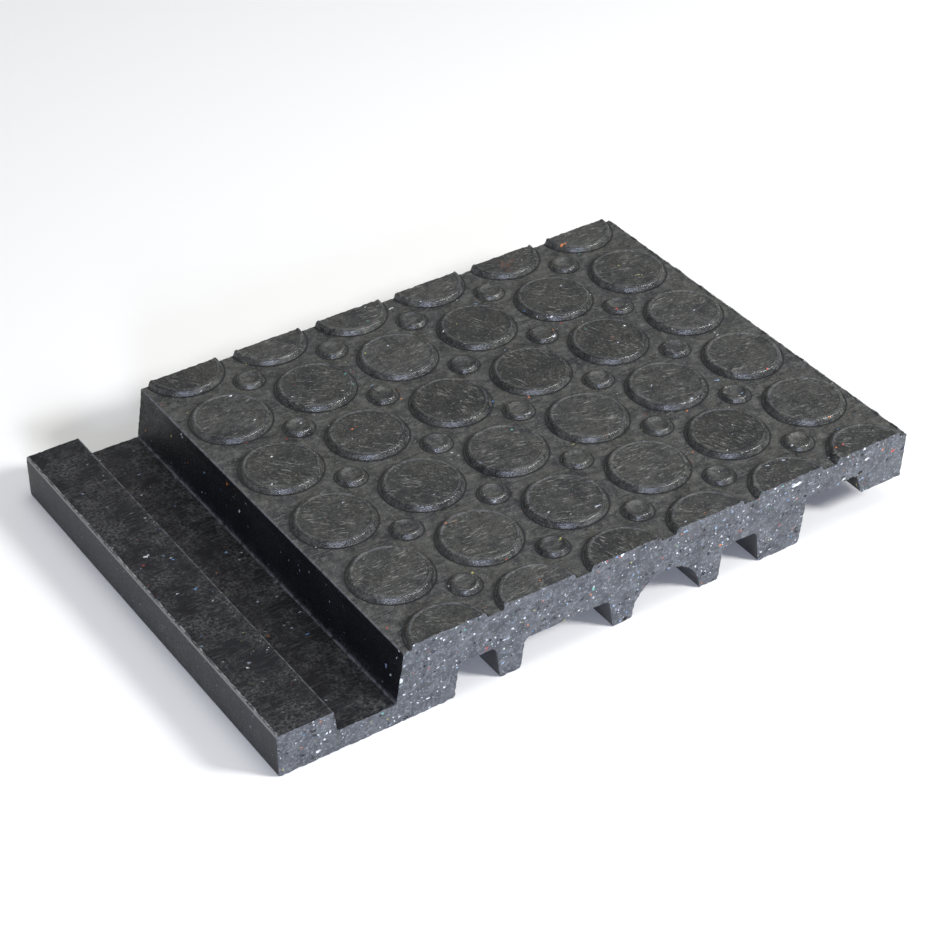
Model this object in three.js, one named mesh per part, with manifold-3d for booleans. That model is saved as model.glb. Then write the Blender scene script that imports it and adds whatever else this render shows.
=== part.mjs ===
// One interlocking ground stabilisation board of moulded recycled plastic, as a sawn sample.
// Its section runs along Y: a half-lap ledge with a groove on the -X side, a hook with a nib
// on the +X side, and channels between legs underneath. Round studs in a square lattice stand
// on the deck. Both ends are sawn through a row of studs. Millimetres, +Z up, and the origin
// is in the middle of the board's footprint, on the ground.

import * as THREE from 'three';
import { mergeVertices } from 'three/addons/utils/BufferGeometryUtils.js';
import Module from 'manifold-3d';

// Board as a whole
const studPitch = 50;
const studColumns = 6;
const studRows = 5;
const deckHeight = 40;

// Studs, measured at the deck and at their top
const largeStudBaseDiameter = 42;
const largeStudTopDiameter = 39;
const largeStudHeight = 3;
const smallStudBaseDiameter = 16;
const smallStudTopDiameter = 13;
const smallStudHeight = 2.5;
const largeStudSides = 32;
const smallStudSides = 16;

// Ledge side: lip, step, groove floor, and the wall that rises to the deck
const ledgeReach = 66.5;
const ledgeLipWidth = 29.5;
const ledgeLipHeight = 24;
const ledgeStepLean = 1.6;
const grooveFloorHeight = 11.8;
const wallFootInset = 4.3;
const wallKneeInset = 0.4;
const wallKneeHeight = 34.5;

// Joint: the gap between two decks, and the clearances of a hook around its neighbour's ledge
const seamGap = 3;
const ledgeEndClearance = 0.5;
const recessRoofClearance = 3.5;
const nibStepClearance = 2.3;
const nibFloorClearance = 2.9;
const nibWallClearance = 0.5;

// Hook side: how far the recess's two sides lean over their height
const recessWallLean = 3.7;
const nibInnerLean = 4.3;

// Underside: two wide end blocks, narrow legs, and the channels between them
const ledgeBlockWidth = 27.4;
const hookBlockWidth = 25.4;
const legWidth = 11.4;
const narrowChannelWidth = 25.5;
const narrowChannelRoof = 19;
const wideChannelLeastWidth = 30;
const wideChannelRoof = 17;
const archWidth = 41;
const channelWallLean = 2.6;

// Corner radii, and the number of straight pieces in a round corner and in the arch
const channelCornerRadius = 3;
const recessCornerRadius = 1.5;
const cornerPieces = 3;
const archPieces = 14;

// The blank is longer than the board before it is sawn, and studs root in the deck
const sawAllowance = 15;
const studRootDepth = 1;

const deckWidth = studColumns * studPitch;
const boardDepth = studRows * studPitch;
const sectionCentre = (deckWidth - ledgeReach) / 2;

const wasm = await Module();
wasm.setup();

// A corner of the section: across (X), height (Z), and the radius that rounds it
function corner(across, height, radius = 0) {
  return { place: new THREE.Vector2(across, height), radius };
}

// Adds a corner to an outline, rounded where it has a radius. The round starts and ends on
// the two sides that meet here and takes at most half of the shorter one.
function addCorner(points, before, here, after) {
  if (here.radius === 0) {
    points.push(here.place);
    return;
  }
  const toBefore = before.place.clone().sub(here.place);
  const toAfter = after.place.clone().sub(here.place);
  const halfAngle = Math.abs(toBefore.angleTo(toAfter)) / 2;
  const room = Math.min(toBefore.length(), toAfter.length()) / 2;
  const run = Math.min(here.radius / Math.tan(halfAngle), room);
  const start = here.place.clone().addScaledVector(toBefore.normalize(), run);
  const end = here.place.clone().addScaledVector(toAfter.normalize(), run);
  const round = new THREE.QuadraticBezierCurve(start, here.place, end);
  points.push(...round.getPoints(cornerPieces));
}

// How far the ledge-side wall stands inside the deck's edge at a height
function wallInset(height) {
  if (height > wallKneeHeight) {
    return wallKneeInset * (deckHeight - height) / (deckHeight - wallKneeHeight);
  }
  const risen = (height - grooveFloorHeight) / (wallKneeHeight - grooveFloorHeight);
  return wallFootInset + (wallKneeInset - wallFootInset) * risen;
}

// The corners of one straight-sided channel, from its left foot to its right foot
function channel(left, right, roof) {
  return [
    corner(left, 0),
    corner(left + channelWallLean, roof, channelCornerRadius),
    corner(right - channelWallLean, roof, channelCornerRadius),
    corner(right, 0),
  ];
}

// The half-round channel, from its left foot to its right foot
function arch(left, right) {
  const radius = (right - left) / 2;
  const corners = [];
  for (let piece = 0; piece <= archPieces; piece += 1) {
    const angle = Math.PI * (1 - piece / archPieces);
    corners.push(corner(left + radius + radius * Math.cos(angle), radius * Math.sin(angle)));
  }
  return corners;
}

// The underside between the two narrow channels: a leg at each end and, between them, as many
// pairs of a wide channel and an arch as fit. The wide channels share the width that is left.
function middle(left, right) {
  const room = right - left - legWidth;
  const pairWithoutChannel = archWidth + 2 * legWidth;
  const pairs = Math.floor(room / (pairWithoutChannel + wideChannelLeastWidth));
  if (pairs === 0) {
    return channel(left + legWidth, right - legWidth, wideChannelRoof);
  }
  const wideChannelWidth = room / pairs - pairWithoutChannel;
  const corners = [];
  for (let pair = 0; pair < pairs; pair += 1) {
    const channelLeft = left + legWidth + pair * room / pairs;
    const archLeft = channelLeft + wideChannelWidth + legWidth;
    corners.push(...channel(channelLeft, channelLeft + wideChannelWidth, wideChannelRoof));
    corners.push(...arch(archLeft, archLeft + archWidth));
  }
  return corners;
}

// The hook from the foot of its block up to the deck's edge. It closes over the ledge of a
// neighbour whose deck starts one seam gap further on.
function hook(neighbour) {
  const ledgeEnd = neighbour - ledgeReach;
  const recessRoof = ledgeLipHeight + recessRoofClearance;
  const blockFoot = ledgeEnd - ledgeEndClearance - recessWallLean * ledgeLipHeight / recessRoof;
  const nibBase = grooveFloorHeight + nibFloorClearance;
  const nibTop = ledgeEnd + ledgeLipWidth + nibStepClearance;
  return [
    corner(blockFoot, 0),
    corner(blockFoot + recessWallLean, recessRoof, recessCornerRadius),
    corner(nibTop, recessRoof, recessCornerRadius),
    corner(nibTop + nibInnerLean, nibBase),
    corner(neighbour - wallInset(nibBase) - nibWallClearance, nibBase),
    corner(deckWidth, deckHeight),
  ];
}

// The ledge side from the deck's edge down the wall, across the groove and over the lip
function ledge() {
  const lipEdge = ledgeLipWidth - ledgeReach;
  return [
    corner(0, deckHeight),
    corner(-wallKneeInset, wallKneeHeight),
    corner(-wallFootInset, grooveFloorHeight),
    corner(lipEdge + ledgeStepLean, grooveFloorHeight),
    corner(lipEdge, ledgeLipHeight),
    corner(-ledgeReach, ledgeLipHeight),
    corner(-ledgeReach, 0),
  ];
}

// The board's whole section, with X = 0 at the deck's edge on the ledge side
function sectionShape() {
  const hookCorners = hook(deckWidth + seamGap);
  const hookBlockLeft = hookCorners[0].place.x - hookBlockWidth;
  const hookChannelLeft = hookBlockLeft - narrowChannelWidth;
  const ledgeChannelRight = ledgeBlockWidth + narrowChannelWidth;
  const corners = [
    ...ledge(),
    ...channel(ledgeBlockWidth, ledgeChannelRight, narrowChannelRoof),
    ...middle(ledgeChannelRight, hookChannelLeft),
    ...channel(hookChannelLeft, hookBlockLeft, narrowChannelRoof),
    ...hookCorners,
  ];
  const points = [];
  corners.forEach((here, index) => {
    const before = corners[(index + corners.length - 1) % corners.length];
    const after = corners[(index + 1) % corners.length];
    addCorner(points, before, here, after);
  });
  return new THREE.Shape(points);
}

// Moulded blank without studs, lying along Y and longer than the board at both ends
function blankGeometry() {
  const depth = boardDepth + 2 * sawAllowance;
  const geometry = new THREE.ExtrudeGeometry(sectionShape(), { depth, bevelEnabled: false });
  geometry.rotateX(Math.PI / 2);
  geometry.translate(0, depth / 2, 0);
  return geometry;
}

// A flat-topped stud with a sloping side, rooted a little way into the deck
function studGeometry(baseDiameter, topDiameter, height, sides) {
  const profile = [
    new THREE.Vector2(0, -studRootDepth),
    new THREE.Vector2(baseDiameter / 2, -studRootDepth),
    new THREE.Vector2(baseDiameter / 2, 0),
    new THREE.Vector2(topDiameter / 2, height),
    new THREE.Vector2(0, height),
  ];
  const geometry = new THREE.LatheGeometry(profile, sides);
  geometry.rotateX(Math.PI / 2);
  return geometry;
}

// A three.js geometry as a closed solid: shared vertices merged, and the triangles that a
// turned profile leaves without area at its axis dropped
function toSolid(geometry) {
  const bare = geometry.clone();
  bare.deleteAttribute('normal');
  bare.deleteAttribute('uv');
  const merged = mergeVertices(bare);
  const index = merged.index.array;
  const triVerts = [];
  for (let i = 0; i < index.length; i += 3) {
    const [a, b, c] = [index[i], index[i + 1], index[i + 2]];
    if (a !== b && b !== c && c !== a) {
      triVerts.push(a, b, c);
    }
  }
  return new wasm.Manifold(new wasm.Mesh({
    numProp: 3,
    vertProperties: new Float32Array(merged.attributes.position.array),
    triVerts: new Uint32Array(triVerts),
  }));
}

// A closed solid back as a three.js geometry
function toGeometry(solid) {
  const mesh = solid.getMesh();
  const geometry = new THREE.BufferGeometry();
  geometry.setAttribute('position', new THREE.BufferAttribute(mesh.vertProperties, 3));
  geometry.setIndex(new THREE.BufferAttribute(mesh.triVerts, 1));
  geometry.computeVertexNormals();
  return geometry;
}

// Both stud lattices on the blank: large studs from half a pitch inside the deck's edges,
// with a row on each saw cut, and small studs in the middle of every four large ones
function addStuds(blank) {
  const large = studGeometry(
    largeStudBaseDiameter, largeStudTopDiameter, largeStudHeight, largeStudSides);
  const small = studGeometry(
    smallStudBaseDiameter, smallStudTopDiameter, smallStudHeight, smallStudSides);
  let studded = blank;
  const stand = (stud, column, row) => {
    const across = column * studPitch;
    const along = row * studPitch - boardDepth / 2;
    studded = studded.add(toSolid(stud.clone().translate(across, along, deckHeight)));
  };
  for (let row = 0; row <= studRows; row += 1) {
    for (let column = 0; column < studColumns; column += 1) {
      stand(large, column + 0.5, row);
      if (row > 0 && column > 0) {
        stand(small, column, row - 0.5);
      }
    }
  }
  return studded;
}

// The length of board between the two saw cuts
function sawnLength() {
  const margin = studPitch;
  const height = 2 * (deckHeight + largeStudHeight + margin);
  const geometry = new THREE.BoxGeometry(deckWidth + ledgeReach + margin, boardDepth, height);
  geometry.translate(sectionCentre, 0, 0);
  return toSolid(geometry);
}

const boardMaterial = new THREE.MeshStandardMaterial({
  color: 0x3a3b3c,
  roughness: 0.62,
  metalness: 0,
});

const studdedBlank = addStuds(toSolid(blankGeometry()));
const board = new THREE.Mesh(toGeometry(studdedBlank.intersect(sawnLength())), boardMaterial);
board.name = 'board';
board.position.set(-sectionCentre, 0, 0);

const sample = new THREE.Group();
sample.add(board);

export default sample;
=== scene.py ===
import math
import random

import bpy
from bpy.props import FloatProperty, FloatVectorProperty, IntProperty, PointerProperty
from mathutils import Matrix, Vector, noise


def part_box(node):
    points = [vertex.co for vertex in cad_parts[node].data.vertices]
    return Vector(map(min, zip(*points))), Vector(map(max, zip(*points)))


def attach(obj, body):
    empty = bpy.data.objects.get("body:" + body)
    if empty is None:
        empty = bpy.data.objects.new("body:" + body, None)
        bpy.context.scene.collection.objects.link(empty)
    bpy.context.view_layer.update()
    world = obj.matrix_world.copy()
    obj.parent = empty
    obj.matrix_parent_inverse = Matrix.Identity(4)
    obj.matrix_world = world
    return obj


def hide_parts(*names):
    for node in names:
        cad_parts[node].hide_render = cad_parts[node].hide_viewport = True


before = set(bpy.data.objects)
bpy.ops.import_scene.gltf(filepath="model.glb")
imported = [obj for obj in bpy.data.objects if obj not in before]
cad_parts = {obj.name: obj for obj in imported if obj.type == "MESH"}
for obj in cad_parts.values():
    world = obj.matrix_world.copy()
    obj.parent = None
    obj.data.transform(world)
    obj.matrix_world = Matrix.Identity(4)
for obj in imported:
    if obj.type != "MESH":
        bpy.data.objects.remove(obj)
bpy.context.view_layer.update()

bl_info = {
    "name": "Ground stabilisation board",
    "version": (1, 0, 0),
    "blender": (4, 5, 0),
    "location": "View3D > Sidebar > Ground board",
    "description": "Dresses one sawn, studded, interlocking ground board of recycled plastic",
    "category": "Add Mesh",
}

# This file dresses one interlocking ground board, moulded from recycled plastic and sawn at
# both ends. Lengths are in metres, +X runs from the ledge to the hook and +Z is up.

MM = 0.001
BOARD_NODE = "board"
NODE_LOW, NODE_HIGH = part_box(BOARD_NODE)

# The studio: the two angles that the board is seen under, the camera, and the soft lights,
# each with its name, place, size, power in watts and colour
VIEW_YAW = math.radians(34.04)
VIEW_PITCH = math.radians(36.66)
CAMERA_TARGET = Vector((0.006, 0.0, 0.016))
CAMERA_DISTANCE = 1.26
CAMERA_LENS_MM = 94
CAMERA_SENSOR_MM = 36
FLOOR_SIZE = 12
WORLD_STRENGTH = 0.38
SOFTBOXES = (("key_softbox", (0.98, -1.15, 1.05), 0.4, 32, "ffffff"),
             ("overhead_softbox", (0.1, -0.1, 1.8), 0.9, 9, "ffffff"),
             ("front_softbox", (-0.84, -1.62, 0.58), 0.38, 19, "d8e2ff"))

# Finishes, in the order of the board's material slots
DECK, SAWN, LAP, UNDERSIDE, FLASH = range(5)

# The lap's edges: the deck's edge over the groove, the ledge's lip, and the hook's recess
LEDGE_REACH = 66.5 * MM
WALL_X = NODE_LOW.x + LEDGE_REACH
LIP_EDGE = NODE_LOW.x + 29.5 * MM
LIP_HEIGHT = 24 * MM
RECESS_X = NODE_HIGH.x - 66.9 * MM
RECESS_ROOF = 27.5 * MM

# Mesh work: how close vertices are merged, first and last, the least size of an edge, how far
# inside the solid the board is cut, and how often a long edge of a sawn end is halved at most
WELD = 1e-6
LAST_WELD = 0.002 * MM
LEAST_EDGE = 0.001 * MM
SKIN = 0.01 * MM
OUTLINE_ROUNDS = 9

# Shading: smooth below this angle, and flat on faces larger than this area
SMOOTH_BELOW = math.radians(35)
FLAT_ABOVE = 25 * MM * MM

# Mould flash and torn edges: the flash's cuts, and how long their coarse and fine waves are
FLASH_STEP = 1.6 * MM
FLASH_WAVES = (8 * MM, 2.3 * MM)
TORN_WAVES = (7 * MM, 2.1 * MM)
HANGING_WAVES = (5 * MM, 1.3 * MM)

# Studs: sides, the pieces of a rounded rim, the ring pressed into a large stud's top, and the
# dish of a small one, whose steps each have a width and a share of the dish's depth
LARGE_STUD_SIDES = 72
SMALL_STUD_SIDES = 36
RIM_PIECES = 3
RING_INSET = 0.7 * MM
RING_WIDTH = 0.6 * MM
RING_DEPTH = 0.35 * MM
SMALL_RIM = 0.7 * MM
SMALL_RIM_FLAT = 0.5 * MM
DISH_STEPS = ((1.1 * MM, 0.7), (1.2 * MM, 0.3))
DISH_FLOOR_INSET = 1.2 * MM

# Open pores: their radius, how far they are drawn out across and up the sawn end, how far
# they lean in radians, and the seed of the random draws that place and shape them
PORE_RADIUS_MM = (0.4, 1.1)
PORE_ACROSS = (0.8, 1.8)
PORE_UP = (0.6, 1.1)
PORE_LEAN = 0.6
PORE_SEED = 43

# Chips of other plastics in the melt: each colour, and where its share of the chips starts
FLECK_COLOURS = (("b4bcc8", 0.00), ("dfe5ee", 0.20), ("8fa6c4", 0.34), ("c9d3d0", 0.46),
                 ("5f93c8", 0.60), ("d9dbe0", 0.66), ("b5b36a", 0.78), ("d07a4a", 0.85),
                 ("c2463c", 0.90), ("62a79c", 0.94), ("eef1f5", 0.97))


def length(name, default_mm, description):
    """A size that a user may change, stored in metres."""
    return FloatProperty(name=name, description=description, default=default_mm * MM,
                         min=0.0, unit="LENGTH", subtype="DISTANCE", precision=5)


def linear(hex_colour):
    """An sRGB hex colour as linear red, green and blue."""
    channels = []
    for start in (0, 2, 4):
        value = int(hex_colour[start:start + 2], 16) / 255
        channels.append(value / 12.92 if value <= 0.04045 else ((value + 0.055) / 1.055) ** 2.4)
    return tuple(channels)


def colour(name, hex_colour, description):
    """A colour that a user may change, given as sRGB hex."""
    return FloatVectorProperty(name=name, description=description, default=linear(hex_colour),
                               min=0.0, max=1.0, size=3, subtype="COLOR")


class GroundBoardSizes(bpy.types.PropertyGroup):
    """Sizes of the board's visible detail"""
    stud_pitch: length("Stud pitch", 50, "Distance between large studs, both ways")
    deck_height: length("Deck height", 40, "Height of the deck between the studs")
    large_base: length("Large stud base", 42, "Diameter of a large stud at the deck")
    large_top: length("Large stud top", 39, "Diameter of a large stud's flat top")
    large_rim: length("Large stud rim", 0.8, "Rounding of a large stud's rim")
    small_base: length("Small stud base", 16, "Diameter of a small stud at the deck")
    small_top: length("Small stud top", 13, "Diameter of a small stud at its rim")
    small_height: length("Small stud height", 2.5, "Height of a small stud")
    small_dish: length("Small stud dish", 1.1, "Depth of the dish in a small stud's top")
    stud_root: length("Stud root", 1, "How far a stud reaches down into the deck")
    edge_round: length("Edge rounding", 0.7, "Rounding of the moulded edges")
    end_step: length("Sawn end step", 1.4, "Distance between the cuts across a sawn end")
    tear: length("Sawn edge tear", 0.7, "Depth of the torn edge round a sawn end")
    pore_distance: length("Pore distance", 4.5, "Least distance between two open pores")
    torn_depth: length("Torn depth", 1.6, "How far from a sawn end the tearing reaches")
    hanging: length("Hanging burr", 1.9, "Length of the torn plastic under the recess's roof")
    flash_width: length("Flash width", 1.1, "Width of the mould flash along two long edges")
    flash_height: length("Flash height", 0.8, "Greatest height of the mould flash")
    stud_columns: IntProperty(name="Stud columns", default=6, min=2,
                              description="Number of columns of large studs across the deck")
    pores_per_end: IntProperty(name="Pores per sawn end", default=55, min=0,
                               description="Number of open pores cut into each sawn end")


class GroundBoardColours(bpy.types.PropertyGroup):
    """Colours of the board's plastic, dirt and wear, and of the floor"""
    deck: colour("Deck", "3a3b3c", "Moulded plastic of the deck and studs")
    deck_dark: colour("Deck, dark", "1f2023", "Darker cloudy patches of the deck")
    deck_dust: colour("Deck dust", "5f5f5c", "Pale dust rubbed into the deck")
    stud_top: colour("Stud top", "131416", "Blacker plastic of the studs' tops")
    scratch: colour("Scratches", "8f8f89", "Scratches and specks on the studs' tops")
    olive: colour("Olive mottling", "53544a", "Olive dust in the grain of the deck and studs")
    stain: colour("Stain", "8a4a2c", "Rusty stains in a few places")
    # This colour is both real dirt and painted shade: the dark ring at the studs' feet and the insides
    # of the pores
    dirt_and_shade: colour("Dirt", "121317", "Dirt round the studs and in pores")
    rubbed: colour("Rubbed rim", "72747a", "Paler rubbed rims of the studs")
    sawn: colour("Sawn plastic", "585b60", "Ground colour of the sawn ends")
    sawn_dark: colour("Sawn plastic, dark", "33363b", "Dark flakes in the sawn ends")
    sawn_pale: colour("Sawn plastic, pale", "8e939c", "Pale torn grain of the sawn ends")
    # The lap's two ground colours are nearly black and tinted blue: painted shade over the dark
    # plastic of ledge, groove and wall
    side: colour("Lap faces", "06070e", "Moulded faces of ledge, groove and wall")
    lap_pale_and_shade: colour("Lap faces, pale", "121318", "Paler cloudy patches of the lap faces")
    side_scuff: colour("Lap scuffs", "525253", "Scuffed patches on the lap faces")
    under: colour("Underside", "2a2b2e", "Moulded faces of legs and channels")
    under_dust: colour("Underside dust", "4c4d4e", "Dust on the underside")
    flash_dark: colour("Mould flash, dark", "36373a", "Mould flash where it isn't stretched")
    flash: colour("Mould flash", "8a8b8a", "Torn flash along the parting edges")
    floor: colour("Floor", "f6f6f5", "Studio floor")


def solo(obj):
    """Leaves one object selected and active, in object mode."""
    if bpy.context.object and bpy.context.object.mode != "OBJECT":
        bpy.ops.object.mode_set(mode="OBJECT")
    bpy.ops.object.select_all(action="DESELECT")
    obj.select_set(True)
    bpy.context.view_layer.objects.active = obj


def choose(obj, kind, wanted):
    """Selects an object's faces or edges for which wanted(item, mesh) holds, in edit mode."""
    bpy.ops.object.mode_set(mode="EDIT")
    bpy.ops.mesh.select_mode(type=kind)
    bpy.ops.mesh.select_all(action="DESELECT")
    bpy.ops.object.mode_set(mode="OBJECT")
    mesh = obj.data
    for item in mesh.polygons if kind == "FACE" else mesh.edges:
        item.select = wanted(item, mesh)
    bpy.ops.object.mode_set(mode="EDIT")


def cut(normal, distance, remove=False, fill=False):
    """Cuts the selected faces with a plane; remove takes away what lies beyond it."""
    bpy.ops.mesh.bisect(plane_co=normal * distance, plane_no=normal, use_fill=fill,
                        clear_outer=remove, clear_inner=False, threshold=WELD)


def apply_modifier(obj, kind, **settings):
    """Adds a modifier with its settings and applies it."""
    solo(obj)
    modifier = obj.modifiers.new(kind.title(), kind)
    for name, value in settings.items():
        setattr(modifier, name, value)
    bpy.ops.object.modifier_apply(modifier=modifier.name)


def copy_at(obj, place):
    """A copy of an object with its own mesh, moved by place."""
    double = bpy.data.objects.new(obj.name, obj.data.copy())
    double.data.transform(obj.matrix_world)
    double.data.transform(Matrix.Translation(place))
    bpy.context.scene.collection.objects.link(double)
    return double


def join(objects):
    """Joins objects into the first one."""
    solo(objects[0])
    for obj in objects:
        obj.select_set(True)
    bpy.ops.object.join()
    return bpy.context.object


def blank(sizes):
    """The board without studs, from a merged copy of the solid, with its moulded edges rounded."""
    board = bpy.data.objects.new("ground_board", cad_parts[BOARD_NODE].data.copy())
    bpy.context.scene.collection.objects.link(board)
    board.data.materials.clear()
    solo(board)
    bpy.ops.object.mode_set(mode="EDIT")
    bpy.ops.mesh.select_all(action="SELECT")
    bpy.ops.mesh.remove_doubles(threshold=WELD)
    cut(Vector((0, 0, 1)), sizes.deck_height - SKIN, remove=True, fill=True)
    bpy.ops.mesh.select_all(action="SELECT")
    bpy.ops.mesh.dissolve_limited(angle_limit=math.radians(1))

    run = (NODE_HIGH.y - NODE_LOW.y) * 0.9
    sharp = math.radians(38)
    bpy.ops.object.mode_set(mode="OBJECT")

    # The normals are copied, because a change of mode rebuilds the mesh that they belong to
    normals_at = {}
    for face in board.data.polygons:
        for key in face.edge_keys:
            normals_at.setdefault(key, []).append(face.normal.copy())

    def moulded_edge(edge, mesh):
        a, b = (mesh.vertices[i].co for i in edge.vertices)
        normals = normals_at[tuple(sorted(edge.vertices))]
        return abs(a.y - b.y) > run and len(normals) == 2 and normals[0].angle(normals[1]) > sharp

    choose(board, "EDGE", moulded_edge)
    bpy.ops.mesh.bevel(offset=sizes.edge_round, segments=2, profile=0.5, affect="EDGES")

    # Cuts through the studs' axes and between them keep each deck face a simple one
    across = Vector((1, 0, 0))
    along = Vector((0, 1, 0))
    for axis, low, high in ((across, NODE_LOW.x, NODE_HIGH.x), (along, NODE_LOW.y, NODE_HIGH.y)):
        steps = int((high - low) / (sizes.stud_pitch / 2))
        for step in range(1, steps + 1):
            place = high - step * sizes.stud_pitch / 2
            if place > low + WELD:
                bpy.ops.mesh.select_all(action="SELECT")
                cut(axis, place)
    for place in (NODE_LOW.y + sizes.torn_depth, NODE_HIGH.y - sizes.torn_depth):
        bpy.ops.mesh.select_all(action="SELECT")
        cut(along, place)
    bpy.ops.object.mode_set(mode="OBJECT")
    return board


def flash_strip(sizes, across, surface_height):
    """A thin, uneven strip of mould flash that stands along a moulded edge."""
    run = NODE_HIGH.y - NODE_LOW.y - 2 * sizes.torn_depth
    width = sizes.flash_width
    bpy.ops.mesh.primitive_cube_add(size=1, location=(across, 0, surface_height))
    strip = bpy.context.object
    strip.scale = (width, run, width)
    bpy.ops.object.transform_apply(location=True, rotation=True, scale=True)

    def along_edge(edge, mesh):
        a, b = (mesh.vertices[i].co for i in edge.vertices)
        return abs(a.y - b.y) > run / 2

    choose(strip, "EDGE", along_edge)
    bpy.ops.mesh.subdivide(number_cuts=round(run / FLASH_STEP))
    bpy.ops.object.mode_set(mode="OBJECT")
    coarse, fine = FLASH_WAVES
    for vertex in strip.data.vertices:
        here = Vector((across, vertex.co.y, surface_height))
        uneven = 0.45 + 0.6 * noise.noise(here / coarse) + 0.7 * noise.noise(here / fine)
        if vertex.co.z > surface_height:
            vertex.co.z = surface_height + sizes.flash_height * min(max(uneven, 0.08), 1.0)
            vertex.co.x = across + (vertex.co.x - across) * (0.35 + 0.4 * abs(uneven))
    return strip


def large_stud(sizes, height):
    """A large stud at the origin: a low truncated cone with a rounded rim and a faint ring."""
    bpy.ops.mesh.primitive_cylinder_add(
        vertices=LARGE_STUD_SIDES, radius=sizes.large_base / 2, depth=height + sizes.stud_root,
        location=(0, 0, (height - sizes.stud_root) / 2))
    stud = bpy.context.object
    bpy.ops.object.transform_apply(location=True, rotation=True, scale=True)
    cone_top(stud, height, sizes.large_top / sizes.large_base)
    choose(stud, "EDGE", lambda edge, mesh: on_top(edge, mesh, height))
    bpy.ops.mesh.bevel(offset=sizes.large_rim, segments=RIM_PIECES, affect="EDGES")
    choose(stud, "FACE", lambda face, mesh: face.normal.z > 0.99)
    bpy.ops.mesh.inset(thickness=RING_INSET)
    bpy.ops.mesh.inset(thickness=RING_WIDTH)
    bpy.ops.transform.translate(value=(0, 0, -RING_DEPTH))
    bpy.ops.object.mode_set(mode="OBJECT")
    return stud


def cone_top(stud, height, share):
    """Narrows a stud's top face to a share of its base."""
    choose(stud, "FACE", lambda face, mesh: face.normal.z > 0.9)
    bpy.ops.transform.resize(value=(share, share, 1), center_override=(0, 0, height))
    bpy.ops.object.mode_set(mode="OBJECT")


def on_top(edge, mesh, height):
    """Whether an edge lies in a stud's top face."""
    return all(mesh.vertices[i].co.z > height - 1e-5 for i in edge.vertices)


def small_stud(sizes):
    """A small stud at the origin: a round rim about a shallow dish."""
    height = sizes.small_height
    bpy.ops.mesh.primitive_cylinder_add(
        vertices=SMALL_STUD_SIDES, radius=sizes.small_base / 2, depth=height + sizes.stud_root,
        location=(0, 0, (height - sizes.stud_root) / 2))
    stud = bpy.context.object
    bpy.ops.object.transform_apply(location=True, rotation=True, scale=True)
    cone_top(stud, height, sizes.small_top / sizes.small_base)
    choose(stud, "EDGE", lambda edge, mesh: on_top(edge, mesh, height))
    bpy.ops.mesh.bevel(offset=SMALL_RIM, segments=RIM_PIECES, affect="EDGES")
    choose(stud, "FACE", lambda face, mesh: face.normal.z > 0.99)
    bpy.ops.mesh.inset(thickness=SMALL_RIM_FLAT)
    for inset, share in DISH_STEPS:
        bpy.ops.mesh.inset(thickness=inset)
        bpy.ops.transform.translate(value=(0, 0, -sizes.small_dish * share))
    bpy.ops.mesh.inset(thickness=DISH_FLOOR_INSET)
    bpy.ops.object.mode_set(mode="OBJECT")
    return stud


def stud_field(sizes):
    """Both stud lattices, joined; the end rows reach past the saw cuts."""
    pitch = sizes.stud_pitch
    deck = sizes.deck_height
    height = NODE_HIGH.z - deck
    rows = round((NODE_HIGH.y - NODE_LOW.y) / pitch)
    large = large_stud(sizes, height)
    small = small_stud(sizes)
    studs = []
    for row in range(rows + 1):
        along = NODE_LOW.y + row * pitch
        for column in range(sizes.stud_columns):
            across = NODE_HIGH.x - (column + 0.5) * pitch
            studs.append(copy_at(large, (across, along, deck)))
            if row < rows and column < sizes.stud_columns - 1:
                studs.append(copy_at(small, (across - pitch / 2, along + pitch / 2, deck)))
    for pattern in (large, small):
        bpy.data.objects.remove(pattern)
    return join(studs)


def pore_places(board, sizes, draw):
    """Random places for the open pores, inside both sawn ends and apart from each other."""
    mesh = board.data
    cut_faces = []
    for face in mesh.polygons:
        if abs(face.normal.y) > 0.999 and all(on_saw_cut(mesh.vertices[i].co) for i in face.vertices):
            cut_faces.append(face)
    areas = [face.area for face in cut_faces]
    places = []
    while len(places) < 2 * sizes.pores_per_end:
        face = draw.choices(cut_faces, areas)[0]
        a, b, c = (mesh.vertices[i].co for i in face.vertices)
        s, t = sorted((draw.random(), draw.random()))
        place = a * s + b * (t - s) + c * (1 - t)
        if all((place - other).length > sizes.pore_distance for other in places):
            places.append(place)
    return places


def pores(board, sizes, draw):
    """Small lumps along both sawn ends, which cut the open pores."""
    lumps = []
    for place in pore_places(board, sizes, draw):
        bpy.ops.mesh.primitive_ico_sphere_add(
            subdivisions=2, radius=draw.uniform(*PORE_RADIUS_MM) * MM, location=place)
        lump = bpy.context.object
        lump.scale = (draw.uniform(*PORE_ACROSS), 1.0, draw.uniform(*PORE_UP))
        lump.rotation_euler = (0, draw.uniform(-PORE_LEAN, PORE_LEAN), 0)
        bpy.ops.object.transform_apply(location=True, rotation=True, scale=True)
        lumps.append(lump)
    return join(lumps)


def on_saw_cut(point, tolerance=0.05 * MM):
    """Whether a point lies in one of the two saw cuts."""
    return min(abs(point.y - NODE_LOW.y), abs(point.y - NODE_HIGH.y)) < tolerance


def finish_of(face, sizes):
    """Which finish a face has, by its place and the way it faces."""
    place = face.center
    if on_saw_cut(place, sizes.tear + 0.1 * MM) and abs(face.normal.y) > 0.35:
        return SAWN
    on_lip = place.x < NODE_LOW.x + 2 * sizes.flash_width and place.z > LIP_HEIGHT + 0.03 * MM
    on_hook = place.x > NODE_HIGH.x - 2 * sizes.flash_width and place.z > sizes.deck_height + 0.03 * MM
    if on_lip or on_hook:
        return FLASH
    if place.z > sizes.deck_height - 0.5 * MM:
        return DECK
    over_ledge = place.x < WALL_X + 0.5 * MM and face.normal.z > -0.5
    if over_ledge or place.x > RECESS_X:
        return LAP
    return UNDERSIDE


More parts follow.
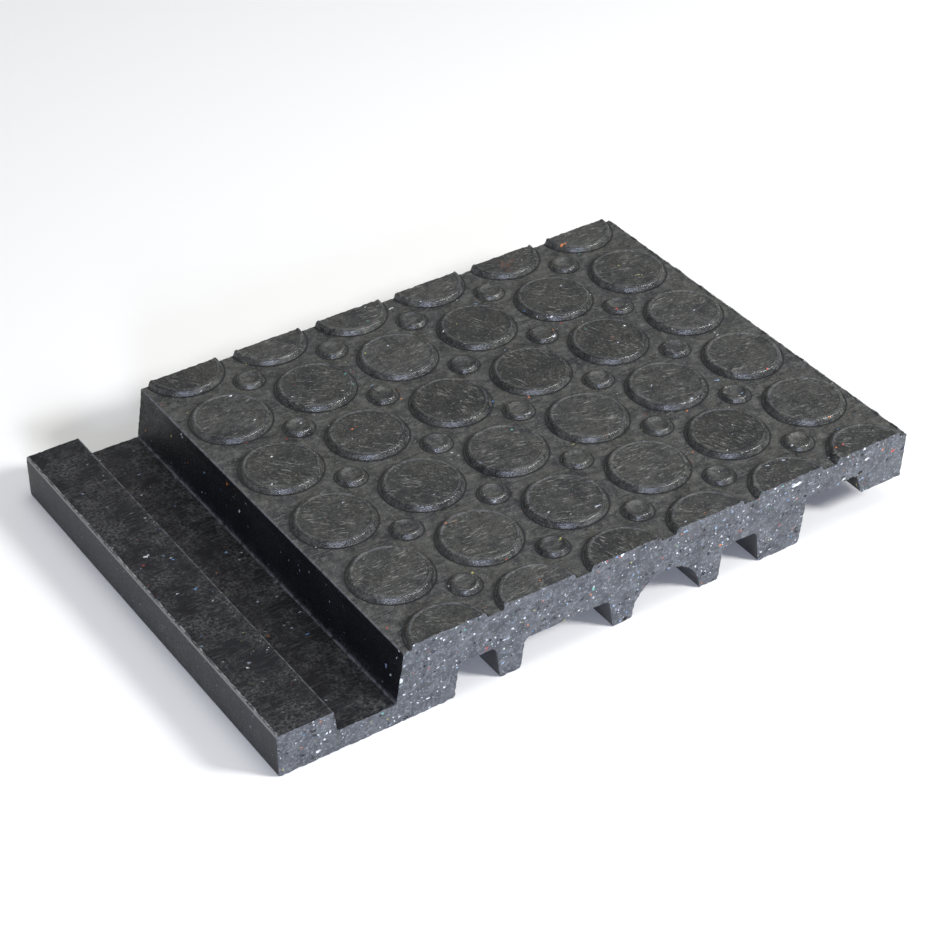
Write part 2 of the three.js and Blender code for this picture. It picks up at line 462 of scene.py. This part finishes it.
def tear_ends(board, sizes):
    """Breaks up the sharp outline of both sawn ends into a slightly torn edge."""
    def long_outline(edge, mesh):
        a, b = (mesh.vertices[i].co for i in edge.vertices)
        return on_saw_cut(a) and on_saw_cut(b) and (a - b).length > 1.4 * sizes.end_step

    for _ in range(OUTLINE_ROUNDS):
        choose(board, "EDGE", long_outline)
        bpy.ops.mesh.subdivide(number_cuts=1)
    choose(board, "FACE", lambda face, mesh: on_saw_cut(face.center) and abs(face.normal.y) > 0.99)
    bpy.ops.mesh.inset(thickness=sizes.tear)
    bpy.ops.object.mode_set(mode="OBJECT")

    mesh = board.data
    inner = set()
    for face in mesh.polygons:
        if face.select:
            inner.update(face.vertices)
    bpy.ops.object.mode_set(mode="EDIT")
    bpy.ops.mesh.select_all(action="SELECT")
    bpy.ops.mesh.quads_convert_to_tris(quad_method="SHORTEST_DIAGONAL", ngon_method="BEAUTY")
    bpy.ops.object.mode_set(mode="OBJECT")

    # The cut's rim is torn back, and plastic hangs from the recess's roof
    for vertex in mesh.vertices:
        if on_saw_cut(vertex.co) and vertex.index not in inner:
            inwards = 1 if vertex.co.y < 0 else -1
            coarse, fine = TORN_WAVES
            torn = 0.25 + noise.noise(vertex.co / fine) + 0.5 * noise.noise(vertex.co / coarse)
            vertex.co.y += inwards * min(max(torn, 0.0), 1.0) * sizes.tear
            if vertex.co.x > RECESS_X and abs(vertex.co.z - RECESS_ROOF) < 0.3 * MM:
                coarse, fine = HANGING_WAVES
                ragged = 0.35 + noise.noise(vertex.co / fine) + noise.noise(vertex.co / coarse)
                vertex.co.z -= min(max(ragged, 0.0), 1.0) * sizes.hanging


def node(tree, kind, inputs=None, **settings):
    """Adds a node with its settings, and sets or links its inputs."""
    made = tree.nodes.new(kind)
    for name, value in settings.items():
        setattr(made, name, value)
    for name, value in (inputs or {}).items():
        if isinstance(value, bpy.types.NodeSocket):
            tree.links.new(value, made.inputs[name])
        else:
            made.inputs[name].default_value = value
    return made


def per_metre(size_mm):
    """How often a pattern of this size repeats in a metre."""
    return 1 / (size_mm * MM)


def rgba(colour_value):
    """A colour with its opacity."""
    return (*colour_value, 1.0)


def new_material(name):
    """An empty material and its node tree."""
    material = bpy.data.materials.new(name)
    material.use_nodes = True
    material.node_tree.nodes.clear()
    return material, material.node_tree


def clouds(tree, place, size_mm, low, high, detail=6.0, roughness=0.6):
    """Soft patches of a size, as a mask that runs from 0 at low to 1 at high."""
    patches = node(tree, "ShaderNodeTexNoise", {
        "Vector": place, "Scale": per_metre(size_mm), "Detail": detail, "Roughness": roughness})
    return node(tree, "ShaderNodeMapRange", {
        "Value": patches.outputs["Fac"], "From Min": low, "From Max": high}).outputs["Result"]


def streaks(tree, place, size_mm, stretch, angle, low, high):
    """Fine parallel scuffs: patches of a size, drawn out along one direction of the deck."""
    turned = node(tree, "ShaderNodeMapping", {
        "Vector": place, "Rotation": (0, 0, math.radians(angle)), "Scale": (1 / stretch, 1, 1)})
    return clouds(tree, turned.outputs["Vector"], size_mm, low, high, 4.0, 0.7)


def blend(tree, mask, below, above):
    """One colour over another by a mask."""
    return node(tree, "ShaderNodeMix", {0: mask, 6: below, 7: above}, data_type="RGBA").outputs[2]


def product(tree, *factors):
    """Masks and numbers multiplied together."""
    value = factors[0]
    for factor in factors[1:]:
        value = node(tree, "ShaderNodeMath", {0: value, 1: factor}, operation="MULTIPLY").outputs[0]
    return value


def band(tree, value, start, full, empty, end):
    """A mask that rises from start to full and falls from empty to end."""
    rise = node(tree, "ShaderNodeMapRange", {"Value": value, "From Min": start, "From Max": full})
    fall = node(tree, "ShaderNodeMapRange", {
        "Value": value, "From Min": empty, "From Max": end, "To Min": 1.0, "To Max": 0.0})
    return product(tree, rise.outputs["Result"], fall.outputs["Result"])


def flecks(tree, place, cell_mm, share, widest, turn=(0, 0, 0), drawn_out=1.0):
    """Chips of other plastics: a mask and their colours, in a share of the cells of a size."""
    laid = node(tree, "ShaderNodeMapping", {
        "Vector": place, "Rotation": turn, "Scale": (1 / drawn_out, 1, 1)})
    wobble = node(tree, "ShaderNodeTexNoise", {
        "Vector": laid.outputs["Vector"], "Scale": per_metre(cell_mm * 0.45), "Detail": 3.0})
    bent = node(tree, "ShaderNodeVectorMath", {
        0: wobble.outputs["Color"], 1: (cell_mm * 0.9 * MM,) * 3}, operation="MULTIPLY")
    moved = node(tree, "ShaderNodeVectorMath", {0: laid.outputs["Vector"], 1: bent.outputs[0]},
                 operation="ADD")
    cells = node(tree, "ShaderNodeTexVoronoi", {
        "Vector": moved.outputs[0], "Scale": per_metre(cell_mm)})
    draw = node(tree, "ShaderNodeSeparateColor", {"Color": cells.outputs["Color"]})
    mostly_small = product(tree, draw.outputs["Green"], draw.outputs["Green"])
    limit = node(tree, "ShaderNodeMapRange", {
        "Value": mostly_small, "To Min": widest * 0.3, "To Max": widest})
    inside = node(tree, "ShaderNodeMath", {
        0: cells.outputs["Distance"], 1: limit.outputs["Result"]}, operation="LESS_THAN")
    picked = node(tree, "ShaderNodeMath", {0: draw.outputs["Red"], 1: 1 - share},
                  operation="GREATER_THAN")
    hues = node(tree, "ShaderNodeValToRGB", {"Fac": draw.outputs["Blue"]})
    ramp = hues.color_ramp
    ramp.interpolation = "CONSTANT"
    for _ in FLECK_COLOURS[2:]:
        ramp.elements.new(1.0)
    for element, (hex_colour, start) in zip(ramp.elements, FLECK_COLOURS):
        element.position = start
        element.color = rgba(linear(hex_colour))
    return product(tree, inside.outputs[0], picked.outputs[0]), hues.outputs["Color"]


def surface(tree, colour_socket, roughness, height, depth_mm, specular=0.5):
    """The shader of a plastic surface, with its relief as a height in millimetres."""
    bump = node(tree, "ShaderNodeBump", {
        "Height": height, "Distance": depth_mm * MM, "Strength": 1.0})
    shader = node(tree, "ShaderNodeBsdfPrincipled", {
        "Base Color": colour_socket, "Roughness": roughness, "Normal": bump.outputs["Normal"],
        "IOR": 1.5, "Specular IOR Level": specular})
    node(tree, "ShaderNodeOutputMaterial", {"Surface": shader.outputs["BSDF"]})


# One pixel of the render covers about 0.5 mm of the board. Grain and scratches finer than that
# can't be shown, so the materials draw them coarser, at 0.8 mm and more.

def deck_material(sizes, colours):
    """Moulded recycled polyolefin of the deck: satin charcoal, rubbed with dust and scuffed"""
    material, tree = new_material("moulded_polyolefin_deck")
    place = node(tree, "ShaderNodeTexCoord").outputs["Object"]
    parts = node(tree, "ShaderNodeSeparateXYZ", {"Vector": place})

    # Distance from the axis of the nearest large stud, in metres
    corner = (NODE_HIGH.x, NODE_HIGH.y + sizes.stud_pitch / 2, 0)
    shifted = node(tree, "ShaderNodeVectorMath", {0: place, 1: corner}, operation="SUBTRACT")
    cells = node(tree, "ShaderNodeVectorMath", {
        0: shifted.outputs[0], 1: (1 / sizes.stud_pitch, 1 / sizes.stud_pitch, 0)},
        operation="MULTIPLY")
    cell = node(tree, "ShaderNodeVectorMath", {0: cells.outputs[0]}, operation="FRACTION")
    centred = node(tree, "ShaderNodeVectorMath", {
        0: cell.outputs[0], 1: (0.5, 0.5, 0)}, operation="SUBTRACT")
    away = node(tree, "ShaderNodeVectorMath", {0: centred.outputs[0]}, operation="LENGTH")
    from_axis = product(tree, away.outputs["Value"], sizes.stud_pitch)
    between_cells = node(tree, "ShaderNodeVectorMath", {
        0: cells.outputs[0], 1: (0.5, 0.5, 0)}, operation="ADD")
    between = node(tree, "ShaderNodeVectorMath", {0: between_cells.outputs[0]},
                   operation="FRACTION")
    small_centred = node(tree, "ShaderNodeVectorMath", {
        0: between.outputs[0], 1: (0.5, 0.5, 0)}, operation="SUBTRACT")
    small_away = node(tree, "ShaderNodeVectorMath", {0: small_centred.outputs[0]},
                      operation="LENGTH")
    from_small = product(tree, small_away.outputs["Value"], sizes.stud_pitch)
    half = sizes.stud_pitch / 2
    has_small = band(tree, parts.outputs["X"], WALL_X + half, WALL_X + half + MM,
                     NODE_HIGH.x - half - MM, NODE_HIGH.x - half)

    top = node(tree, "ShaderNodeMapRange", {
        "Value": parts.outputs["Z"], "From Min": NODE_HIGH.z - 0.9 * MM,
        "From Max": NODE_HIGH.z - 0.6 * MM}).outputs["Result"]
    number = node(tree, "ShaderNodeVectorMath", {0: cells.outputs[0]}, operation="FLOOR")
    own = node(tree, "ShaderNodeTexWhiteNoise", {"Vector": number.outputs[0]}).outputs["Value"]

    body = blend(tree, clouds(tree, place, 14, 0.38, 0.62, 9.0, 0.65), rgba(colours.deck_dark),
                 rgba(colours.deck))
    grime = product(tree, clouds(tree, place, 2.8, 0.50, 0.62, 9.0, 0.78), 0.60)
    body = blend(tree, grime, body, rgba(colours.dirt_and_shade))
    worn = product(tree, streaks(tree, place, 0.9, 9, 34, 0.50, 0.62),
                   clouds(tree, place, 13, 0.35, 0.60, 4.0), 0.70)
    tone = blend(tree, worn, body, rgba(colours.deck_dust))
    dusty = product(tree, clouds(tree, place, 5, 0.48, 0.62, 10.0, 0.78), 0.75)
    tone = blend(tree, dusty, tone, rgba(colours.deck_dust))

    # Each stud's top is blacker than the deck and is scratched its own way
    black = node(tree, "ShaderNodeMapRange", {"Value": own, "To Min": 0.30, "To Max": 0.85})
    tone = blend(tree, product(tree, black.outputs["Result"], top), tone, rgba(colours.stud_top))
    mottled = product(tree, clouds(tree, place, 1.7, 0.46, 0.60, 6.0, 0.75),
                      clouds(tree, place, 17, 0.40, 0.60, 3.0), 0.55)
    tone = blend(tree, mottled, tone, rgba(colours.olive))
    angle = node(tree, "ShaderNodeMapRange", {"Value": own, "To Min": -0.2, "To Max": 1.3})
    spun = node(tree, "ShaderNodeVectorRotate", {
        "Vector": place, "Angle": angle.outputs["Result"]}, rotation_type="Z_AXIS")
    scratched = product(tree, streaks(tree, spun.outputs["Vector"], 1.0, 5, 0, 0.55, 0.66),
                        clouds(tree, place, 9, 0.44, 0.56, 4.0), top, 0.75)
    tone = blend(tree, scratched, tone, rgba(colours.scratch))
    specks = product(tree, clouds(tree, place, 0.9, 0.63, 0.70, 2.0), 0.55)
    tone = blend(tree, specks, tone, rgba(colours.scratch))

    # Dirt and painted shade darken a ring round the foot of a stud, and its rim and the deck's edge
    # are rubbed paler
    foot = sizes.large_base / 2
    rim = sizes.large_top / 2
    small_foot = sizes.small_base / 2
    large_foot_dirt_and_shade = band(tree, from_axis, foot - 0.2 * MM, foot + 0.1 * MM, foot + 0.6 * MM,
                      foot + 1.3 * MM)
    small_foot_dirt_and_shade = band(tree, from_small, small_foot - 0.2 * MM, small_foot + 0.1 * MM,
                      small_foot + 0.5 * MM, small_foot + 1.1 * MM)
    dirt_and_shade = node(tree, "ShaderNodeMath", {0: large_foot_dirt_and_shade, 1: product(tree, small_foot_dirt_and_shade, has_small)},
                operation="MAXIMUM").outputs[0]
    tone = blend(tree, product(tree, dirt_and_shade, 0.95), tone, rgba(colours.dirt_and_shade))
    large_flank = band(tree, from_axis, rim - 0.5 * MM, rim, foot, foot + 0.1 * MM)
    small_flank = band(tree, from_small, sizes.small_top / 2 - 0.9 * MM, sizes.small_top / 2,
                       small_foot, small_foot + 0.1 * MM)
    flank = node(tree, "ShaderNodeMath", {
        0: large_flank, 1: product(tree, small_flank, has_small)}, operation="MAXIMUM").outputs[0]
    rubbed = product(tree, band(tree, from_axis, rim - 1.9 * MM, rim - 1.5 * MM, rim - 1.1 * MM,
                                rim - 0.8 * MM), top, clouds(tree, place, 5, 0.38, 0.6), 0.35)
    tone = blend(tree, rubbed, tone, rgba(colours.rubbed))
    edge = band(tree, parts.outputs["X"], WALL_X - 1.0 * MM, WALL_X - 0.5 * MM,
                WALL_X + 0.5 * MM, WALL_X + 0.9 * MM)
    tone = blend(tree, product(tree, edge, clouds(tree, place, 4, 0.35, 0.55), 0.7), tone,
                 rgba(colours.rubbed))
    chips, hues = flecks(tree, place, 5.0, 0.07, 0.20, (0, 0, 0.6), 1.9)
    tone = blend(tree, product(tree, chips, 0.8), tone, hues)
    tiny, hues = flecks(tree, place, 2.3, 0.05, 0.26, (0, 0, -0.7), 1.4)
    tone = blend(tree, product(tree, tiny, 0.8), tone, hues)
    rust = product(tree, clouds(tree, place, 31, 0.70, 0.76, 3.0),
                   clouds(tree, place, 3, 0.42, 0.62, 6.0), 0.45)
    tone = blend(tree, rust, tone, rgba(colours.stain))

    grain = clouds(tree, place, 1.0, 0.2, 0.8, 6.0, 0.75)
    waves = clouds(tree, place, 9, 0.0, 1.0, 3.0, 0.5)
    height = node(tree, "ShaderNodeMath", {0: product(tree, waves, 2.5), 1: grain},
                  operation="ADD").outputs[0]
    height = node(tree, "ShaderNodeMath", {0: height, 1: product(tree, scratched, 1.8)},
                  operation="ADD").outputs[0]
    # Feet polish the studs' flanks, so they shine more than the flat faces
    roughness = node(tree, "ShaderNodeMapRange", {
        "Value": clouds(tree, place, 6, 0.3, 0.7), "To Min": 0.34, "To Max": 0.52})
    polished = node(tree, "ShaderNodeMix", {0: flank, 2: roughness.outputs["Result"], 3: 0.17})
    surface(tree, tone, polished.outputs[0], height, 0.12)
    return material


def sawn_material(colours):
    """Sawn recycled polyolefin: the blade opens the core, paler and full of other plastics"""
    material, tree = new_material("sawn_polyolefin")
    place = node(tree, "ShaderNodeTexCoord").outputs["Object"]
    tone = blend(tree, clouds(tree, place, 9, 0.32, 0.68, 8.0, 0.65), rgba(colours.sawn_dark),
                 rgba(colours.sawn))
    fine = product(tree, clouds(tree, place, 1.5, 0.50, 0.66, 6.0, 0.75), 0.60)
    tone = blend(tree, fine, tone, rgba(colours.sawn_pale))
    shaded = product(tree, clouds(tree, place, 2.1, 0.52, 0.66, 6.0, 0.75), 0.65)
    tone = blend(tree, shaded, tone, rgba(colours.sawn_dark))
    flakes, _ = flecks(tree, place, 3.4, 0.30, 0.50, (0, -0.3, 0), 1.5)
    tone = blend(tree, product(tree, flakes, 0.55), tone, rgba(colours.sawn_dark))
    crowd = clouds(tree, place, 11, 0.30, 0.50, 3.0)
    for cell_mm, share, widest, lean, drawn_out in (
            (6.0, 0.34, 0.25, 0.9, 1.8), (3.8, 0.34, 0.28, -1.0, 1.5),
            (2.4, 0.30, 0.33, 1.5, 1.3), (1.5, 0.26, 0.40, 0.0, 1.1)):
        chips, hues = flecks(tree, place, cell_mm, share, widest, (0, lean, 0), drawn_out)
        tone = blend(tree, product(tree, chips, crowd, 0.9), tone, hues)
    # Dented holes for open pores, painted dark: dirt and painted shade inside the pores
    holes, _ = flecks(tree, place, 4.2, 0.42, 0.27, (0, 0.2, 0), 1.4)
    tone = blend(tree, product(tree, holes, 0.85), tone, rgba(colours.dirt_and_shade))
    grain = clouds(tree, place, 1.1, 0.2, 0.8, 6.0, 0.75)
    lumps = product(tree, clouds(tree, place, 4, 0.2, 0.8, 3.0), 2.0)
    height = node(tree, "ShaderNodeMath", {0: grain, 1: lumps}, operation="ADD").outputs[0]
    height = node(tree, "ShaderNodeMath", {0: height, 1: product(tree, holes, 2.0)},
                  operation="SUBTRACT").outputs[0]
    surface(tree, tone, 0.55, height, 0.2, 0.4)
    return material


def lap_material(colours):
    """Moulded recycled polyolefin of the lap: dark skin painted nearly black with painted shade,
    scuffed where boards rub
    """
    material, tree = new_material("moulded_polyolefin_lap")
    place = node(tree, "ShaderNodeTexCoord").outputs["Object"]
    parts = node(tree, "ShaderNodeSeparateXYZ", {"Vector": place})
    # The nearly black ground of the lap is the plastic's dark skin with painted shade in it
    body = blend(tree, clouds(tree, place, 22, 0.3, 0.7, 6.0), rgba(colours.side),
                 rgba(colours.lap_pale_and_shade))
    patches = product(tree, clouds(tree, place, 14, 0.42, 0.58, 10.0, 0.72),
                      clouds(tree, place, 1.6, 0.44, 0.62, 6.0, 0.75), 0.85)
    low_faces = node(tree, "ShaderNodeMapRange", {
        "Value": parts.outputs["X"], "From Min": WALL_X - 3.2 * MM, "From Max": WALL_X - 4.6 * MM})
    tone = blend(tree, product(tree, patches, low_faces.outputs["Result"]), body,
                 rgba(colours.side_scuff))
    drawn = product(tree, streaks(tree, place, 1.0, 9, 30, 0.54, 0.66),
                    low_faces.outputs["Result"], 0.40)
    tone = blend(tree, drawn, tone, rgba(colours.side_scuff))
    chips, hues = flecks(tree, place, 4.0, 0.20, 0.22, (0.4, 0.5, 0.6), 1.7)
    tone = blend(tree, product(tree, chips, 0.6), tone, hues)
    tiny, hues = flecks(tree, place, 2.0, 0.16, 0.30, (0.2, -0.6, -0.5), 1.4)
    tone = blend(tree, product(tree, tiny, clouds(tree, place, 18, 0.42, 0.62), 0.5), tone, hues)

    # The edges that a neighbouring board rubs, and the torn flash along the ledge's outer edge
    wavy = node(tree, "ShaderNodeMath", {
        0: parts.outputs["X"], 1: product(tree, clouds(tree, place, 6, 0.3, 0.7, 5.0), -1.1 * MM)},
        operation="ADD").outputs[0]
    outer = band(tree, wavy, NODE_LOW.x - 3 * MM, NODE_LOW.x - 2 * MM, NODE_LOW.x + 0.2 * MM,
                 NODE_LOW.x + 0.6 * MM)
    upper = band(tree, parts.outputs["Z"], LIP_HEIGHT - 1.4 * MM, LIP_HEIGHT - 0.8 * MM,
                 LIP_HEIGHT + 2 * MM, LIP_HEIGHT + 3 * MM)
    tone = blend(tree, product(tree, outer, upper, 0.85), tone, rgba(colours.flash))
    step = band(tree, parts.outputs["X"], LIP_EDGE - 1.1 * MM, LIP_EDGE - 0.5 * MM,
                LIP_EDGE + 0.2 * MM, LIP_EDGE + 0.5 * MM)
    foot = band(tree, parts.outputs["X"], WALL_X - 5.0 * MM, WALL_X - 4.5 * MM,
                WALL_X - 4.2 * MM, WALL_X - 3.9 * MM)
    worn_lines = node(tree, "ShaderNodeMath", {0: product(tree, step, upper), 1: foot},
                      operation="MAXIMUM").outputs[0]
    tone = blend(tree, product(tree, worn_lines, clouds(tree, place, 4, 0.38, 0.55), 0.55), tone,
                 rgba(colours.rubbed))
    grain = clouds(tree, place, 1.2, 0.2, 0.8, 6.0, 0.7)
    waves = product(tree, clouds(tree, place, 9, 0.0, 1.0, 3.0, 0.5), 3.0)
    height = node(tree, "ShaderNodeMath", {0: grain, 1: waves}, operation="ADD").outputs[0]
    roughness = node(tree, "ShaderNodeMapRange", {
        "Value": patches, "To Min": 0.42, "To Max": 0.75})
    surface(tree, tone, roughness.outputs["Result"], height, 0.12, 0.35)
    return material


def underside_material(colours):
    """Moulded recycled polyolefin of the underside: plain dark skin with a film of dust"""
    material, tree = new_material("moulded_polyolefin_underside")
    place = node(tree, "ShaderNodeTexCoord").outputs["Object"]
    body = blend(tree, clouds(tree, place, 18, 0.3, 0.7, 7.0), rgba(colours.under),
                 rgba(colours.under_dust))
    flow = product(tree, streaks(tree, place, 5, 4, 86, 0.5, 0.8), 0.4)
    tone = blend(tree, flow, body, rgba(colours.under_dust))
    chips, hues = flecks(tree, place, 4.6, 0.08, 0.24)
    tone = blend(tree, product(tree, chips, 0.7), tone, hues)
    height = clouds(tree, place, 3, 0.1, 0.9, 7.0, 0.6)
    surface(tree, tone, 0.5, height, 0.2, 0.4)
    return material


def flash_material(colours):
    """Torn mould flash: thin stretched plastic along a parting edge, whitened and matt"""
    material, tree = new_material("torn_mould_flash")
    place = node(tree, "ShaderNodeTexCoord").outputs["Object"]
    torn = clouds(tree, place, 3.2, 0.42, 0.60, 6.0, 0.7)
    tone = blend(tree, torn, rgba(colours.flash_dark), rgba(colours.flash))
    height = clouds(tree, place, 0.8, 0.1, 0.9, 5.0, 0.7)
    surface(tree, tone, 0.7, height, 0.15, 0.4)
    return material


class GROUNDBOARD_OT_board(bpy.types.Operator):
    """Models the moulded board with its studs, sawn ends and finishes"""
    bl_idname = "groundboard.board"
    bl_label = "Moulded board"

    def execute(self, context):
        sizes = context.scene.ground_board_sizes
        colours = context.scene.ground_board_colours
        draw = random.Random(PORE_SEED)
        board = blank(sizes)
        studs = stud_field(sizes)
        apply_modifier(board, "BOOLEAN", operation="UNION", solver="EXACT", object=studs)
        bpy.data.objects.remove(studs)
        for across, height in ((NODE_LOW.x + 0.8 * sizes.flash_width, LIP_HEIGHT),
                               (NODE_HIGH.x - 0.8 * sizes.flash_width, sizes.deck_height)):
            strip = flash_strip(sizes, across, height)
            apply_modifier(board, "BOOLEAN", operation="UNION", solver="EXACT", object=strip)
            bpy.data.objects.remove(strip)
        solo(board)
        bpy.ops.object.mode_set(mode="EDIT")
        for normal in (Vector((0, 1, 0)), Vector((0, -1, 0))):
            bpy.ops.mesh.select_all(action="SELECT")
            cut(normal, NODE_HIGH.y - SKIN, remove=True, fill=True)
        bpy.ops.object.mode_set(mode="OBJECT")
        tear_ends(board, sizes)
        lumps = pores(board, sizes, draw)
        apply_modifier(board, "BOOLEAN", operation="DIFFERENCE", solver="EXACT", object=lumps)
        bpy.data.objects.remove(lumps)
        apply_modifier(board, "TRIANGULATE")
        bpy.ops.object.mode_set(mode="EDIT")
        bpy.ops.mesh.select_all(action="SELECT")
        bpy.ops.mesh.remove_doubles(threshold=LAST_WELD)
        bpy.ops.mesh.dissolve_degenerate(threshold=LEAST_EDGE)
        bpy.ops.object.mode_set(mode="OBJECT")
        bpy.ops.object.shade_smooth_by_angle(angle=SMOOTH_BELOW)
        for material in (deck_material(sizes, colours), sawn_material(colours),
                         lap_material(colours), underside_material(colours),
                         flash_material(colours)):
            board.data.materials.append(material)
        for face in board.data.polygons:
            face.material_index = finish_of(face, sizes)
            level = abs(face.normal.z) > 0.9995
            if face.material_index == SAWN or level or face.area > FLAT_ABOVE:
                face.use_smooth = False
        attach(board, "root")
        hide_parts(BOARD_NODE)
        return {"FINISHED"}


class GROUNDBOARD_OT_stage(bpy.types.Operator):
    """Sets the floor, the soft lights and the camera"""
    bl_idname = "groundboard.stage"
    bl_label = "Stage"

    def execute(self, context):
        scene = context.scene
        colours = scene.ground_board_colours
        bpy.ops.object.select_all(action="DESELECT")
        bpy.ops.mesh.primitive_plane_add(size=FLOOR_SIZE, location=(0, 0, 0))
        floor = context.object
        floor.name = "floor"
        material, tree = new_material("studio_floor")
        shader = node(tree, "ShaderNodeBsdfPrincipled",
                      {"Base Color": rgba(colours.floor), "Roughness": 0.8})
        node(tree, "ShaderNodeOutputMaterial", {"Surface": shader.outputs["BSDF"]})
        floor.data.materials.append(material)

        forward = Vector((math.sin(VIEW_YAW) * math.cos(VIEW_PITCH),
                          math.cos(VIEW_YAW) * math.cos(VIEW_PITCH), -math.sin(VIEW_PITCH)))
        camera_data = bpy.data.cameras.new("camera")
        camera_data.sensor_width = CAMERA_SENSOR_MM
        camera_data.lens = CAMERA_LENS_MM
        camera = bpy.data.objects.new("camera", camera_data)
        scene.collection.objects.link(camera)
        camera.location = CAMERA_TARGET - forward * CAMERA_DISTANCE
        camera.rotation_euler = forward.to_track_quat("-Z", "Y").to_euler()
        scene.camera = camera

        for name, place, size, power, tint in SOFTBOXES:
            light = bpy.data.lights.new(name, "AREA")
            light.shape = "SQUARE"
            light.size = size
            light.energy = power
            light.color = linear(tint)
            holder = bpy.data.objects.new(name, light)
            holder.location = place
            holder.rotation_euler = Vector(place).to_track_quat("Z", "Y").to_euler()
            scene.collection.objects.link(holder)
        world = bpy.data.worlds.new("studio")
        world.use_nodes = True
        world.node_tree.nodes["Background"].inputs["Color"].default_value = (1, 1, 1, 1)
        world.node_tree.nodes["Background"].inputs["Strength"].default_value = WORLD_STRENGTH
        scene.world = world
        scene.view_settings.view_transform = "Standard"
        return {"FINISHED"}


class GROUNDBOARD_PT_panel(bpy.types.Panel):
    """The board's sizes, colours and operators"""
    bl_idname = "GROUNDBOARD_PT_panel"
    bl_label = "Ground board"
    bl_space_type = "VIEW_3D"
    bl_region_type = "UI"
    bl_category = "Ground board"

    def draw(self, context):
        layout = self.layout
        for group in (context.scene.ground_board_sizes, context.scene.ground_board_colours):
            column = layout.column()
            for name in group.__annotations__:
                column.prop(group, name)
        layout.operator("groundboard.board")
        layout.operator("groundboard.stage")


CLASSES = (GroundBoardSizes, GroundBoardColours, GROUNDBOARD_OT_board, GROUNDBOARD_OT_stage,
           GROUNDBOARD_PT_panel)


def register():
    """Registers the classes and gives the scene its sizes and colours."""
    for item in CLASSES:
        bpy.utils.register_class(item)
    bpy.types.Scene.ground_board_sizes = PointerProperty(type=GroundBoardSizes)
    bpy.types.Scene.ground_board_colours = PointerProperty(type=GroundBoardColours)


def unregister():
    """Takes back what register gave."""
    del bpy.types.Scene.ground_board_colours
    del bpy.types.Scene.ground_board_sizes
    for item in reversed(CLASSES):
        bpy.utils.unregister_class(item)


def main():
    """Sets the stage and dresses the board."""
    register()
    bpy.ops.groundboard.stage()
    bpy.ops.groundboard.board()


if __name__ == "__main__":
    main()
